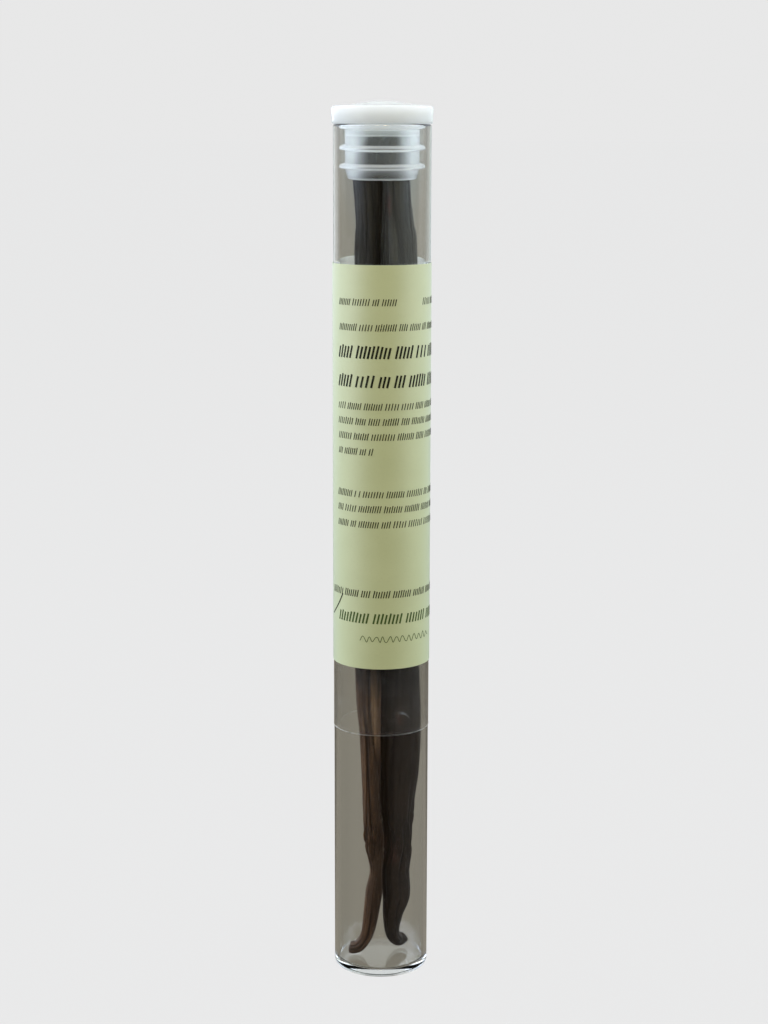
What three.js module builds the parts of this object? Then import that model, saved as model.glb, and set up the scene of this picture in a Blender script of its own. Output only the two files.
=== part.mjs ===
// Two vanilla pods in a clear glass tube that is shut by a ribbed plastic stopper.
// Millimetres, +Z up. The origin is the middle of the tube's flat bottom, and -Y is the front.
import * as THREE from 'three';
import { mergeVertices } from 'three/addons/utils/BufferGeometryUtils.js';

// Facets round the tube, which its label and film share so that the three nest closely.
const TUBE_SIDES = 48;
const SIDE_ANGLE = (2 * Math.PI) / TUBE_SIDES;

// Glass tube
const TUBE_RADIUS = 10;
const TUBE_HEIGHT = 180;
const GLASS_WALL = 1;
const GLASS_FLOOR = 1.6;
const BASE_ROUNDING = 1.2;
const BORE_RADIUS = TUBE_RADIUS - GLASS_WALL;

// Stopper
const HEAD_RADIUS = 10.4;
const HEAD_HEIGHT = 3.6;
const HEAD_ROUNDING = 0.6;
const HEAD_TAPER = 0.15;
const HEAD_DOME_RISE = 1;
const HEAD_THICKNESS = 1.9;
const PLUG_RADIUS = 7.5;
const PLUG_END_RADIUS = 7.1;
const PLUG_DEPTH = 11.4;
const PLUG_WALL = 0.55;
const RIB_RADIUS = 8.83;
const RIB_DEPTHS = [0.9, 5.1, 8.8];
const RIB_ROOT_THICKNESS = 1.1;
const RIB_EDGE_THICKNESS = 0.5;
const SEAT_GAP = 0.05;
const STOPPER_SIDES = 40;

// Label and the clear film that hangs out under it
const LABEL_BOTTOM = 68.4;
const LABEL_TOP = 152.1;
const FILM_BOTTOM = 54;
const FILM_TUCK = 3.5;
const FILM_THICKNESS = 0.06;
const PAPER_THICKNESS = 0.1;
const SKIN_GAP = 0.03;
const SKIN_OPEN_SIDES = 4;

// Pods: facets round a pod, rings along it, and how far its skin stays from the glass
const POD_SIDES = 24;
const POD_RINGS = 60;
const POD_CLEARANCE = 0.2;

// Each row is one place along a pod, from the hooked stem end at the bottom to the tip at the top.
// The columns are its height, its middle from left to right and from front to back, and half its
// width and half its depth.
const LEFT_POD = [
  [3.4, -7.0, -0.6, 0.9, 0.8],
  [3.3, -6.3, -0.6, 1.3, 1.2],
  [3.9, -4.6, -0.8, 1.3, 1.3],
  [6.6, -3.0, -1.0, 1.35, 1.4],
  [11.5, -2.1, -1.2, 1.6, 1.6],
  [16.5, -1.5, -1.2, 1.75, 1.6],
  [21.5, -1.0, -1.3, 1.35, 1.4],
  [27.5, -1.4, -1.3, 2.1, 2.0],
  [36.5, -1.95, -1.3, 1.9, 2.4],
  [51.0, -2.3, -1.3, 2.15, 2.8],
  [65.5, -2.8, -1.0, 2.65, 3.1],
  [110.0, -2.95, -0.1, 2.7, 3.2],
  [152.0, -2.8, 0.8, 2.8, 3.1],
  [159.0, -2.65, 0.8, 2.7, 3.0],
  [164.0, -2.75, 0.7, 2.85, 2.9],
  [168.8, -2.95, 0.5, 2.95, 2.6],
  [173.2, -3.3, 0.3, 1.9, 2.0],
  [176.4, -1.2, 0.2, 1.4, 1.2],
  [177.4, -0.7, 0.1, 0.6, 0.5],
];
const RIGHT_POD = [
  [4.0, 5.6, 4.6, 0.9, 0.8],
  [3.7, 5.0, 4.1, 1.3, 1.2],
  [3.8, 3.7, 3.0, 1.4, 1.3],
  [6.0, 2.6, 1.9, 1.6, 1.4],
  [10.5, 2.7, 1.4, 2.2, 1.7],
  [15.0, 3.4, 1.3, 3.0, 2.0],
  [20.5, 3.1, 1.3, 3.0, 2.0],
  [25.5, 3.6, 1.3, 2.85, 2.1],
  [36.5, 3.5, 1.4, 3.75, 2.4],
  [43.5, 3.85, 1.3, 4.2, 2.5],
  [54.0, 4.15, 1.2, 4.5, 2.5],
  [65.5, 3.95, 1.5, 4.35, 2.6],
  [110.0, 3.8, 0.3, 3.85, 2.6],
  [152.0, 3.5, -0.9, 3.6, 2.6],
  [159.0, 3.25, -0.9, 3.25, 2.6],
  [164.0, 3.0, -0.8, 3.0, 2.6],
  [168.8, 2.8, -0.6, 2.8, 2.4],
  [173.2, 2.0, -0.4, 3.0, 2.0],
  [176.6, 2.15, -0.2, 1.45, 1.2],
  [177.6, 2.15, -0.1, 0.6, 0.5],
];

const glass = new THREE.MeshStandardMaterial({
  color: 0xdfe6e2, roughness: 0.05, metalness: 0, transparent: true, opacity: 0.35,
});
const milkyPlastic = new THREE.MeshStandardMaterial({ color: 0xd9dfdc, roughness: 0.4, metalness: 0 });
const greenPaper = new THREE.MeshStandardMaterial({ color: 0xc3cfae, roughness: 0.75, metalness: 0 });
const clearFilm = new THREE.MeshStandardMaterial({
  color: 0xe6ebe6, roughness: 0.15, metalness: 0, transparent: true, opacity: 0.3,
});
const podBrown = new THREE.MeshStandardMaterial({ color: 0x35291d, roughness: 0.42, metalness: 0 });
const podDark = new THREE.MeshStandardMaterial({ color: 0x2a2521, roughness: 0.4, metalness: 0 });

// Points of a quarter circle of the given radius, from one angle to another, in degrees.
function quarterArc(centreRadius, centreHeight, radius, fromAngle, toAngle, steps = 3) {
  return Array.from({ length: steps + 1 }, (unused, step) => {
    const angle = THREE.MathUtils.degToRad(THREE.MathUtils.lerp(fromAngle, toAngle, step / steps));
    return new THREE.Vector2(
      centreRadius + radius * Math.cos(angle),
      centreHeight + radius * Math.sin(angle),
    );
  });
}

// A closed turned body round the Z axis, from an outline that starts and ends on the axis.
function turned(outline, sides) {
  const geometry = new THREE.LatheGeometry(outline, sides);
  geometry.rotateX(Math.PI / 2);
  return geometry;
}

// The tube is a straight glass cylinder with a flat bottom, a soft lower edge and a fire-rounded rim.
function tubeGeometry() {
  const rimRadius = GLASS_WALL / 2;
  const innerRounding = BASE_ROUNDING * 0.8;
  const outline = [
    new THREE.Vector2(0, 0),
    ...quarterArc(TUBE_RADIUS - BASE_ROUNDING, BASE_ROUNDING, BASE_ROUNDING, -90, 0),
    ...quarterArc(TUBE_RADIUS - rimRadius, TUBE_HEIGHT - rimRadius, rimRadius, 0, 180, 4),
    ...quarterArc(BORE_RADIUS - innerRounding, GLASS_FLOOR + innerRounding, innerRounding, 0, -90),
    new THREE.Vector2(0, GLASS_FLOOR),
  ];
  return turned(outline, TUBE_SIDES);
}

// The stopper is moulded in one piece: a flat round head with a low dome, and under it a hollow
// plug with thin ribs that seal against the bore.
function stopperGeometry() {
  const seat = TUBE_HEIGHT + SEAT_GAP;
  const headTop = seat + HEAD_HEIGHT;
  const plugEnd = seat - PLUG_DEPTH;
  const domeSteps = 5;
  const dome = Array.from({ length: domeSteps }, (unused, step) => {
    const reach = step / domeSteps;
    const rise = HEAD_DOME_RISE * Math.cos(reach * Math.PI / 2) ** 2;
    return new THREE.Vector2((HEAD_RADIUS - HEAD_ROUNDING) * reach, headTop + rise);
  });
  const ribs = RIB_DEPTHS.flatMap((depth) => {
    const height = seat - depth;
    return [
      new THREE.Vector2(PLUG_RADIUS, height + RIB_ROOT_THICKNESS / 2),
      new THREE.Vector2(RIB_RADIUS, height + RIB_EDGE_THICKNESS / 2),
      new THREE.Vector2(RIB_RADIUS, height - RIB_EDGE_THICKNESS / 2),
      new THREE.Vector2(PLUG_RADIUS, height - RIB_ROOT_THICKNESS / 2),
    ];
  });
  const outline = [
    ...dome,
    ...quarterArc(HEAD_RADIUS - HEAD_ROUNDING, headTop - HEAD_ROUNDING, HEAD_ROUNDING, 90, 0),
    new THREE.Vector2(HEAD_RADIUS - HEAD_TAPER, seat + HEAD_ROUNDING / 2),
    new THREE.Vector2(HEAD_RADIUS - HEAD_TAPER - HEAD_ROUNDING / 2, seat),
    new THREE.Vector2(PLUG_RADIUS, seat),
    ...ribs,
    new THREE.Vector2(PLUG_END_RADIUS, plugEnd),
    new THREE.Vector2(PLUG_END_RADIUS - PLUG_WALL, plugEnd),
    new THREE.Vector2(PLUG_RADIUS - PLUG_WALL, seat),
    new THREE.Vector2(PLUG_RADIUS - PLUG_WALL - HEAD_ROUNDING, headTop - HEAD_THICKNESS),
    new THREE.Vector2(0, headTop - HEAD_THICKNESS),
  ];
  return turned(outline.reverse(), STOPPER_SIDES);
}

// A thin skin bent round the tube, open at the back by a few of the tube's facets.
function wrappedSkin(innerRadius, thickness, bottom, top) {
  const sides = TUBE_SIDES - SKIN_OPEN_SIDES;
  const halfAngle = (sides * SIDE_ANGLE) / 2;
  const front = -Math.PI / 2;
  const section = new THREE.Shape();
  section.absarc(0, 0, innerRadius + thickness, front - halfAngle, front + halfAngle, false);
  section.absarc(0, 0, innerRadius, front + halfAngle, front - halfAngle, true);
  const geometry = new THREE.ExtrudeGeometry(section, {
    depth: top - bottom,
    bevelEnabled: false,
    curveSegments: sides / 2,
  });
  geometry.translate(0, 0, bottom);
  return geometry;
}

// How far the skin sinks into a pod's lengthwise furrows, as a share of its radius. Its two edges
// stay full, and the furrows wander a little along the pod.
function furrowDepth(angle, share, furrows) {
  const drift = furrows.drift * Math.sin(furrows.waves * Math.PI * share + furrows.phase);
  const wide = Math.cos(3 * angle + furrows.phase + drift);
  const narrow = Math.cos(7 * angle - 2 * furrows.phase - 1.5 * drift);
  return (furrows.depth * Math.sin(angle) ** 2 * (1 - 0.6 * wide - 0.4 * narrow)) / 2;
}

// A pod is a bent, flattened rod. The rings of a turned body are moved along the pod's middle,
// set square to it, and squeezed to the width and depth that its rows give.
function podGeometry(rows, furrows) {
  const middle = new THREE.CatmullRomCurve3(rows.map((row) => new THREE.Vector3(row[1], row[2], row[0])));
  const halves = new THREE.CatmullRomCurve3(rows.map((row) => new THREE.Vector3(row[3], row[4], 0)));
  const outline = [new THREE.Vector2(0, 0)];
  for (let ring = 0; ring <= POD_RINGS; ring += 1) {
    outline.push(new THREE.Vector2(1, ring / POD_RINGS));
  }
  outline.push(new THREE.Vector2(0, 1));
  const geometry = turned(outline, POD_SIDES);

  const position = geometry.attributes.position;
  for (let index = 0; index < position.count; index += 1) {
    const share = THREE.MathUtils.clamp(position.getZ(index), 0, 1);
    const angle = Math.atan2(position.getY(index), position.getX(index));
    const reach = Math.hypot(position.getX(index), position.getY(index));
    const size = reach * (1 - furrowDepth(angle, share, furrows));

    const tangent = middle.getTangent(share);
    const depthways = new THREE.Vector3(0, 1, 0).addScaledVector(tangent, -tangent.y).normalize();
    const sideways = new THREE.Vector3().crossVectors(depthways, tangent);
    const half = halves.getPoint(share);
    const point = middle.getPoint(share)
      .addScaledVector(sideways, half.x * size * Math.cos(angle))
      .addScaledVector(depthways, half.y * size * Math.sin(angle));
    const acrossBore = new THREE.Vector2(point.x, point.y).clampLength(0, BORE_RADIUS - POD_CLEARANCE);
    position.setXYZ(index, acrossBore.x, acrossBore.y, point.z);
  }
  return geometry;
}

function piece(name, geometry, material) {
  for (const attribute of ['normal', 'uv']) {
    geometry.deleteAttribute(attribute);
  }
  const welded = mergeVertices(geometry, 1e-5);
  welded.computeVertexNormals();
  const mesh = new THREE.Mesh(welded, material);
  mesh.name = name;
  return mesh;
}

const filmRadius = TUBE_RADIUS + SKIN_GAP;
const labelRadius = filmRadius + FILM_THICKNESS + SKIN_GAP;
const vanillaTube = new THREE.Group();
vanillaTube.add(
  piece('tube', tubeGeometry(), glass),
  piece('stopper', stopperGeometry(), milkyPlastic),
  piece('film', wrappedSkin(filmRadius, FILM_THICKNESS, FILM_BOTTOM, LABEL_BOTTOM + FILM_TUCK), clearFilm),
  piece('label', wrappedSkin(labelRadius, PAPER_THICKNESS, LABEL_BOTTOM, LABEL_TOP), greenPaper),
  piece('pod_left', podGeometry(LEFT_POD, { depth: 0.2, drift: 0.9, waves: 3, phase: 0.4 }), podBrown),
  piece('pod_right', podGeometry(RIGHT_POD, { depth: 0.18, drift: 1.1, waves: 4, phase: 2.1 }), podDark),
);

export default vanillaTube;
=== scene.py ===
import math
import random

import bmesh
import bpy
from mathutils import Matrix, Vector, noise


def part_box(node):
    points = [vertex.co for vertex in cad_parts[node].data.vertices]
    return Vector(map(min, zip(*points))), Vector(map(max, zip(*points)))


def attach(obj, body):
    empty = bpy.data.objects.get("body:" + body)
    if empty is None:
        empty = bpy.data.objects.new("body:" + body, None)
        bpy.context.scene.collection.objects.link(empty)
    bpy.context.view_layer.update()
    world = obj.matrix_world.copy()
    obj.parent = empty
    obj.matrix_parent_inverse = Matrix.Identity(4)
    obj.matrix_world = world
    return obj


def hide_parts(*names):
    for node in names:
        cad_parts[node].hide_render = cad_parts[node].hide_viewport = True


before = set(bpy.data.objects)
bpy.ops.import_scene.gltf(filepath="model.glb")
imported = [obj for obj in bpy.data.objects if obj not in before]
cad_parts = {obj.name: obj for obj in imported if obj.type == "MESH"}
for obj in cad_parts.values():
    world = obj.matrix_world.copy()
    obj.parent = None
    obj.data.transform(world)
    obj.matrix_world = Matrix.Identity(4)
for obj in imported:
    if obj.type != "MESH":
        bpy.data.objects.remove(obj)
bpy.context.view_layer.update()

MM = 0.001


# The tube is drawn from clear glass with a wall of one millimetre. Its foot is pressed flat and its
# rim is melted round. The glass has a faint green tint, and light lines where it was drawn.
tube_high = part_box("tube")[1]
TUBE_RADIUS = tube_high.x
TUBE_HEIGHT = tube_high.z
WALL = 1.0 * MM
GLASS_FLOOR = 1.6 * MM
FOOT_ROUNDING = 1.2 * MM
FOOT_HOLLOW = 0.25 * MM
TUBE_SIDES = 160
GLASS_TINT = (0.96, 0.975, 0.965, 1)


def arc(middle, radius, start, end, steps):
    """Points (radius, height) of a round stretch of an outline, from one angle to another in degrees."""
    points = []
    for step in range(steps + 1):
        angle = math.radians(start + (end - start) * step / steps)
        points.append((middle[0] + radius * math.cos(angle), middle[1] + radius * math.sin(angle)))
    return points


def turned_body(name, outline, sides):
    """A closed body turned round Z from an outline that starts and ends on the axis."""
    shape = bmesh.new()
    rings = []
    for radius, height in outline:
        on_axis = radius < 1e-7
        count = 1 if on_axis else sides
        rings.append([
            shape.verts.new((
                radius * math.cos(2 * math.pi * side / sides),
                radius * math.sin(2 * math.pi * side / sides),
                height,
            ))
            for side in range(count)
        ])
    for lower, upper in zip(rings, rings[1:]):
        for side in range(sides):
            beside = (side + 1) % sides
            corners = [lower[side % len(lower)], lower[beside % len(lower)]]
            corners += [upper[beside % len(upper)], upper[side % len(upper)]]
            shape.faces.new(list(dict.fromkeys(corners)))
    bmesh.ops.recalc_face_normals(shape, faces=shape.faces)
    return finished_mesh(name, shape)


def finished_mesh(name, shape, sharp_angle=40):
    """Turns a bmesh into an object with smooth faces and crisp corners."""
    mesh = bpy.data.meshes.new(name)
    shape.to_mesh(mesh)
    shape.free()
    mesh.polygons.foreach_set("use_smooth", [True] * len(mesh.polygons))
    mesh.set_sharp_from_angle(angle=math.radians(sharp_angle))
    piece = bpy.data.objects.new(name, mesh)
    bpy.context.scene.collection.objects.link(piece)
    return piece


def new_finish(name, **sockets):
    """A material with one Principled shader and the given constant socket values."""
    material = bpy.data.materials.new(name)
    material.use_nodes = True
    tree = material.node_tree
    shader = tree.nodes["Principled BSDF"]
    for socket, value in sockets.items():
        shader.inputs[socket.replace("_", " ")].default_value = value
    return material, tree, shader


def grain(tree, stretch, detail=4.0, roughness=0.5, turn=(0, 0, 0)):
    """Noise on Object coordinates. stretch is the number of patches per metre along X, Y and Z."""
    place = tree.nodes.new("ShaderNodeTexCoord")
    mapping = tree.nodes.new("ShaderNodeMapping")
    mapping.inputs["Scale"].default_value = stretch
    mapping.inputs["Rotation"].default_value = turn
    pattern = tree.nodes.new("ShaderNodeTexNoise")
    pattern.inputs["Scale"].default_value = 1.0
    pattern.inputs["Detail"].default_value = detail
    pattern.inputs["Roughness"].default_value = roughness
    tree.links.new(place.outputs["Object"], mapping.inputs["Vector"])
    tree.links.new(mapping.outputs["Vector"], pattern.inputs["Vector"])
    return pattern.outputs["Fac"]


def spread(tree, value, from_low, from_high, to_low, to_high):
    """Moves a value from one range to another."""
    node = tree.nodes.new("ShaderNodeMapRange")
    node.inputs["From Min"].default_value = from_low
    node.inputs["From Max"].default_value = from_high
    node.inputs["To Min"].default_value = to_low
    node.inputs["To Max"].default_value = to_high
    tree.links.new(value, node.inputs["Value"])
    return node.outputs["Result"]


def blend_colours(tree, share, first, second):
    """A colour between two: each is a plain colour or the output of a node."""
    node = tree.nodes.new("ShaderNodeMix")
    node.data_type = "RGBA"
    tree.links.new(share, node.inputs["Factor"])
    for socket, colour in (("A", first), ("B", second)):
        target = next(each for each in node.inputs if each.name == socket and each.type == "RGBA")
        if isinstance(colour, tuple):
            target.default_value = colour
        else:
            tree.links.new(colour, target)
    return next(each for each in node.outputs if each.type == "RGBA")


def raise_surface(tree, shader, height, strength, distance, below=None):
    """Bumps the shader's surface by a height, on top of an earlier bump if there is one."""
    bump = tree.nodes.new("ShaderNodeBump")
    bump.inputs["Strength"].default_value = strength
    bump.inputs["Distance"].default_value = distance
    tree.links.new(height, bump.inputs["Height"])
    if below is not None:
        tree.links.new(below, bump.inputs["Normal"])
    tree.links.new(bump.outputs["Normal"], shader.inputs["Normal"])
    return bump.outputs["Normal"]


def glass_finish():
    """Clear glass with faint smudges, and faint lengthwise lines from the drawing."""
    glass, tree, shader = new_finish(
        "clear_glass", Base_Color=GLASS_TINT, Transmission_Weight=1.0, IOR=1.5,
    )
    smudges = grain(tree, (60, 60, 22), detail=5, roughness=0.6)
    tree.links.new(spread(tree, smudges, 0.45, 0.75, 0.012, 0.06), shader.inputs["Roughness"])
    drawing_lines = grain(tree, (420, 420, 5), detail=2)
    raise_surface(tree, shader, drawing_lines, 0.05, 0.05 * MM)
    return glass


def glass_outline():
    """Up the outside from the hollow under the foot, over the melted rim and down the bore."""
    rim = WALL / 2
    bore = TUBE_RADIUS - WALL
    inner_rounding = FOOT_ROUNDING * 0.8
    foot_edge = TUBE_RADIUS - FOOT_ROUNDING
    outline = [(0, FOOT_HOLLOW)]
    outline += [(foot_edge * 0.45, FOOT_HOLLOW * 0.8), (foot_edge * 0.8, FOOT_HOLLOW * 0.3)]
    outline += arc((foot_edge, FOOT_ROUNDING), FOOT_ROUNDING, -90, 0, 10)
    outline += arc((TUBE_RADIUS - rim, TUBE_HEIGHT - rim), rim, 0, 180, 14)
    outline += arc((bore - inner_rounding, GLASS_FLOOR + inner_rounding), inner_rounding, 0, -90, 10)
    outline += [(bore * 0.45, GLASS_FLOOR + FOOT_HOLLOW * 0.8), (0, GLASS_FLOOR + FOOT_HOLLOW)]
    return outline


glass_tube = turned_body("glass_tube", glass_outline(), TUBE_SIDES)
glass_tube.data.materials.append(glass_finish())
glass_tube.visible_shadow = False
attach(glass_tube, "root")
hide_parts("tube")


# The pods are whole cured vanilla fruits, dark, oily and bendy, with lengthwise furrows. They stand
# side by side in the tube on their hooked stem ends, and their tips reach up into the stopper.
POD_SIDES = 160
POD_RINGS = 580
POD_CLEARANCE = 0.15 * MM
POD_FULLNESS = 1.045
END_ROUNDING = 0.9
END_BLUNTNESS = 0.25

# Each row is a place along the pod, from the stem end up, in millimetres: its height, its middle
# from left to right and from front to back, and half its width and half its depth.
LEFT_POD = (
    (3.4, -7.0, -0.6, 0.9, 0.8), (3.3, -6.3, -0.6, 1.3, 1.2), (3.9, -4.6, -0.8, 1.3, 1.3),
    (6.6, -3.0, -1.0, 1.35, 1.4), (11.5, -2.1, -1.2, 1.6, 1.6), (16.5, -1.5, -1.2, 1.75, 1.6),
    (21.5, -1.0, -1.3, 1.35, 1.4), (27.5, -1.4, -1.3, 2.1, 2.0), (36.5, -1.95, -1.3, 1.9, 2.4),
    (51.0, -2.3, -1.3, 2.15, 2.8), (65.5, -2.8, -1.0, 2.65, 3.1), (110.0, -2.95, -0.1, 2.7, 3.2),
    (152.0, -2.8, 0.8, 2.8, 3.1), (159.0, -2.65, 0.8, 2.7, 3.0), (164.0, -2.75, 0.7, 2.85, 2.9),
    (168.8, -2.95, 0.5, 2.95, 2.6), (173.2, -3.3, 0.3, 1.9, 2.0), (176.4, -1.2, 0.2, 1.4, 1.2),
    (177.4, -0.7, 0.1, 0.6, 0.5),
)
RIGHT_POD = (
    (4.0, 5.6, 4.6, 0.9, 0.8), (3.7, 5.0, 4.1, 1.3, 1.2), (3.8, 3.7, 3.0, 1.4, 1.3),
    (6.0, 2.6, 1.9, 1.6, 1.4), (10.5, 2.7, 1.4, 2.2, 1.7), (15.0, 3.4, 1.3, 3.0, 2.0),
    (20.5, 3.15, 1.3, 3.05, 2.0), (25.5, 3.7, 1.3, 3.0, 2.1), (36.5, 3.55, 1.4, 3.8, 2.4),
    (43.5, 3.95, 1.3, 4.3, 2.5), (54.0, 4.3, 1.2, 4.65, 2.5), (65.5, 4.15, 1.5, 4.5, 2.6),
    (110.0, 3.8, 0.3, 3.85, 2.6), (152.0, 3.5, -0.9, 3.6, 2.6), (159.0, 3.25, -0.9, 3.25, 2.6),
    (164.0, 3.0, -0.8, 3.0, 2.6), (168.8, 2.8, -0.6, 2.8, 2.4), (173.2, 2.0, -0.4, 3.0, 2.0),
    (176.6, 2.15, -0.2, 1.45, 1.2), (177.6, 2.15, -0.1, 0.6, 0.5),
)

# The creases that run along a pod. Each row is how finely they lie round it, how long they run in
# millimetres, how sharp they are, how deep as a share of the pod's radius, how hollow, and how dark the
# painted shade in them is.
CREASES = (
    (1.35, 34, 5.5, 0.105, 1.5, 0.8),
    (2.3, 22, 6.5, 0.06, 1.5, 0.5),
    (3.8, 15, 4.0, 0.028, 1.0, 0.3),
)

# The softer folds, all along a pod and at its pinch over the stem end: how finely they lie round it,
# how long they run in millimetres, and their height as a share of the radius.
WRINKLES = ((0.9, 26, 0.028), (5.5, 6, 0.010))
PUCKERS = ((2.6, 5.5, 0.16), (6, 2.6, 0.07))

# The pinch: where it is along the pod and how far it reaches, in millimetres, and its own creases,
# with the numbers of the row of creases above.
PINCH_PLACE = 27
PINCH_REACH = 6
PINCH_CREASES = (4.2, 3.4, 4.5, 0.13, 1.0, 0.9)

# The seam's depth where it is strongest, as a share of the radius, and half of its width as an angle.
SEAM_DEPTH = 0.09
SEAM_HALF_WIDTH = 0.12

# Stains and painted highlights show only in front of this depth in the tube. Painted shade darkens the
# skin where one pod lies against the other, and it fades out over some millimetres at the top.
STAIN_AND_HIGHLIGHT_BACK = 0.8
CONTACT_SHADE = 0.85
CONTACT_FADE = 6


def along_rows(rows, place):
    """The row at a place between 0 and 1, on a smooth curve through all the rows."""
    spans = len(rows) - 1
    span = min(int(place * spans), spans - 1)
    share = place * spans - span
    before = rows[max(span - 1, 0)]
    start, end = rows[span], rows[span + 1]
    after = rows[min(span + 2, spans)]
    values = []
    for b, s, e, a in zip(before, start, end, after):
        leaving, arriving = (e - b) / 2, (a - s) / 2
        square, cube = share ** 2, share ** 3
        values.append(
            s * (2 * cube - 3 * square + 1) + leaving * (cube - 2 * square + share)
            + e * (3 * square - 2 * cube) + arriving * (cube - square)
        )
    return values


def even_places(rows, count):
    """Places along the rows that lie the same length apart on the pod's middle line, and its length."""
    samples = 3000
    lengths = [0.0]
    last = None
    for sample in range(samples + 1):
        height, sideways, depth, *_ = along_rows(rows, sample / samples)
        point = Vector((sideways, depth, height))
        if last is not None:
            lengths.append(lengths[-1] + (point - last).length)
        last = point
    places = []
    sample = 0
    for ring in range(count + 1):
        wanted = lengths[-1] * ring / count
        while sample < samples - 1 and lengths[sample + 1] < wanted:
            sample += 1
        step = max(lengths[sample + 1] - lengths[sample], 1e-9)
        places.append((sample + (wanted - lengths[sample]) / step) / samples)
    return [min(max(place, 0.0), 1.0) for place in places], lengths[-1]


def furrowed(angle, travelled, character):
    """How deep the skin lies at an angle and a length along the pod, in shares of its radius, and how
    much painted shade it has in its seam and creases."""
    turn = angle + character["twist"] * travelled
    across = Vector((math.cos(turn), math.sin(turn), 0))
    seed = Vector((character["seed"], 0, 0))

    def folds(fineness, length):
        return noise.noise(across * fineness + seed + Vector((0, 0, travelled / length)))

    def creased(fineness, length, sharpness, deep, hollowness, dark):
        crease = max(0.0, 1 - sharpness * abs(folds(fineness, length)))
        return deep * crease ** hollowness, dark * crease

    # The shade here is painted shade, laid in the seam and the creases on top of their real depth.
    seam_angle, seam_strength = character["seam"](travelled)
    off_seam = math.remainder(angle - seam_angle, 2 * math.pi)
    shade = seam_strength * math.exp(-((off_seam / SEAM_HALF_WIDTH) ** 2))
    depth = SEAM_DEPTH * shade
    pinch = math.exp(-(((travelled - PINCH_PLACE) / PINCH_REACH) ** 2))
    for row, strength in [(row, 1.0) for row in CREASES] + [(PINCH_CREASES, pinch)]:
        deep, dark = creased(*row)
        depth += strength * deep
        shade += strength * dark
    depth += sum(rise * folds(fineness, length) for fineness, length, rise in WRINKLES)
    depth += pinch * sum(rise * folds(fineness, length) for fineness, length, rise in PUCKERS)
    return depth, min(1.0, shade)


def stain_and_highlight_at(point, stains_and_highlights):
    """How strongly the stains and painted highlights show at a point on the pod's front."""
    shown = 0.0
    if point.y < STAIN_AND_HIGHLIGHT_BACK:
        for sideways, height, half_width, half_height, strength in stains_and_highlights:
            across = ((point.x - sideways) / half_width) ** 2
            along = ((point.z - height) / half_height) ** 4
            shown = max(shown, strength * math.exp(-across - along))
    return shown


def contact_shade_at(point, contact_shade_span):
    """The painted shade on the skin where the pod lies against the other one, below a height."""
    start, full, top = contact_shade_span
    inward = min(max((point.x - start) / (full - start), 0.0), 1.0)
    low = min(max((top - point.z) / CONTACT_FADE, 0.0), 1.0)
    return CONTACT_SHADE * inward * low


def pod_body(name, rows, character):
    """A pod from its rows, with its furrowed skin kept inside the bore. Two attributes of the skin say,
    for the finish, how much painted shade it has in its creases, its seam and where it lies against the
    other pod, and how much of a stain or painted highlight it has."""
    places, length = even_places(rows, POD_RINGS)
    bore = TUBE_RADIUS - WALL - POD_CLEARANCE
    shape = bmesh.new()
    painted_shade_layer = shape.verts.layers.float.new("crease")
    stain_and_highlight_layer = shape.verts.layers.float.new("mark")
    rings = []
    step = 1e-4
    for ring, place in enumerate(places):
        height, sideways, depth, half_width, half_depth = along_rows(rows, place)
        ahead = along_rows(rows, min(place + step, 1.0))
        behind = along_rows(rows, max(place - step, 0.0))
        tangent = Vector((ahead[1] - behind[1], ahead[2] - behind[2], ahead[0] - behind[0])).normalized()
        depthways = (Vector((0, 1, 0)) - tangent * tangent.y).normalized()
        across = depthways.cross(tangent)
        middle = Vector((sideways, depth, height))
        travelled = length * ring / POD_RINGS
        from_end = min(travelled, length - travelled)
        off_round = 1 - min(from_end / END_ROUNDING, 1.0)
        swell = min(1.0, math.sqrt(1 - off_round ** 2) + END_BLUNTNESS)
        corners = []
        for side in range(POD_SIDES):
            angle = 2 * math.pi * side / POD_SIDES
            sink, crease = furrowed(angle, travelled, character)
            size = (POD_FULLNESS - sink) * swell
            point = middle + across * (half_width * size * math.cos(angle))
            point += depthways * (half_depth * size * math.sin(angle))
            reach = math.hypot(point.x, point.y) * MM
            if reach > bore:
                point.x *= bore / reach
                point.y *= bore / reach
            corner = shape.verts.new(point * MM)
            # Painted shade where the pod lies against the other one.
            if "contact_shade_span" in character:
                crease = max(crease, contact_shade_at(point, character["contact_shade_span"]))
            corner[painted_shade_layer] = crease
            corner[stain_and_highlight_layer] = stain_and_highlight_at(point, character["stains_and_highlights"])
            corners.append(corner)
        rings.append(corners)
    for lower, upper in zip(rings, rings[1:]):
        for side in range(POD_SIDES):
            beside = (side + 1) % POD_SIDES
            shape.faces.new((lower[side], lower[beside], upper[beside], upper[side]))
    for ring in (rings[0], rings[-1]):
        pole = shape.verts.new(sum((corner.co for corner in ring), Vector()) / POD_SIDES)
        for side in range(POD_SIDES):
            shape.faces.new((ring[side], ring[(side + 1) % POD_SIDES], pole))
    bmesh.ops.recalc_face_normals(shape, faces=shape.faces)
    return finished_mesh(name, shape, sharp_angle=80)


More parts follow.
